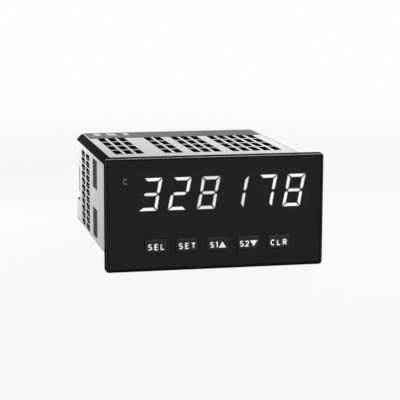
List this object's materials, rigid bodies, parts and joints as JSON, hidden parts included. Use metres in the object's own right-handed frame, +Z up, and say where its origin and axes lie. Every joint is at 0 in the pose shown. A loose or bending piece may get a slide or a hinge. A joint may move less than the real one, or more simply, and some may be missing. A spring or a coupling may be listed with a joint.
{
  "type": "panel counter",
  "caption": "Panel-mounted electronic counter: black bezel with slanted LED figures and rubber keys, and a deep vented light-grey case with rear terminal blocks and squeeze latches.",
  "frame": {"origin": "centre of the panel cut-out, in the panel's front plane, which is the rear face of the gasket", "axes": "+X to the right seen from the front, +Y back through the panel, +Z up"},
  "size_m": [0.0966, 0.1083, 0.0496],
  "materials": {
    "bezel": "satin black",
    "window": "smoked sheet",
    "gasket": "foam",
    "case": "satin light grey",
    "label": "printed film",
    "key": "matte",
    "contact": "carbon",
    "board": "solder mask",
    "digit": "matte",
    "lit": "lit diffuser",
    "dark": "unlit diffuser",
    "lamp": "light pipe",
    "connector": "moulded",
    "chip": "moulded",
    "core": "laminated",
    "winding": "taped",
    "capacitor": "sleeved can",
    "base": "moulded",
    "terminal": "moulded",
    "screw": "plated",
    "clamp": "plated"
  },
  "bodies": {
    "housing": {"bezel": "bezel", "front_window": "window", "panel_gasket": "gasket", "case": "case", "rear_label": "label", "keypad_mat": "key", "display_board": "board", "channel_lamp": "lamp", "digit_1": "digit", "digit_2": "digit", "digit_3": "digit", "digit_4": "digit", "digit_5": "digit", "digit_6": "digit", "lit_segments": "lit", "dark_segments": "dark", "main_board": "board", "board_header": "connector", "transformer_core": "core", "transformer_winding": "winding", "capacitors": "capacitor", "microcontroller": "chip", "logic_chips": "chip", "option_sockets": "connector", "input_jumpers": "connector", "rear_base": "base", "board_screws": "screw", "signal_terminals": "terminal", "power_terminals": "terminal", "terminal_headers": "connector", "terminal_screws": "screw", "wire_clamps": "clamp"},
    "display_button": {"display_key": "key", "display_contact": "contact"},
    "parameter_button": {"parameter_key": "key", "parameter_contact": "contact"},
    "up_button": {"up_key": "key", "up_contact": "contact"},
    "down_button": {"down_key": "key", "down_contact": "contact"},
    "reset_button": {"reset_key": "key", "reset_contact": "contact"}
  },
  "joints": [
    {"name": "display_press", "type": "slide", "parent": "housing", "child": "display_button", "axis": [0, 1, 0], "range_m": [0, 0.001], "stiffness_N_per_m": 600, "springref_m": -0.0005},
    {"name": "parameter_press", "type": "slide", "parent": "housing", "child": "parameter_button", "axis": [0, 1, 0], "range_m": [0, 0.001], "stiffness_N_per_m": 600, "springref_m": -0.0005},
    {"name": "up_press", "type": "slide", "parent": "housing", "child": "up_button", "axis": [0, 1, 0], "range_m": [0, 0.001], "stiffness_N_per_m": 600, "springref_m": -0.0005},
    {"name": "down_press", "type": "slide", "parent": "housing", "child": "down_button", "axis": [0, 1, 0], "range_m": [0, 0.001], "stiffness_N_per_m": 600, "springref_m": -0.0005},
    {"name": "reset_press", "type": "slide", "parent": "housing", "child": "reset_button", "axis": [0, 1, 0], "range_m": [0, 0.001], "stiffness_N_per_m": 600, "springref_m": -0.0005}
  ]
}
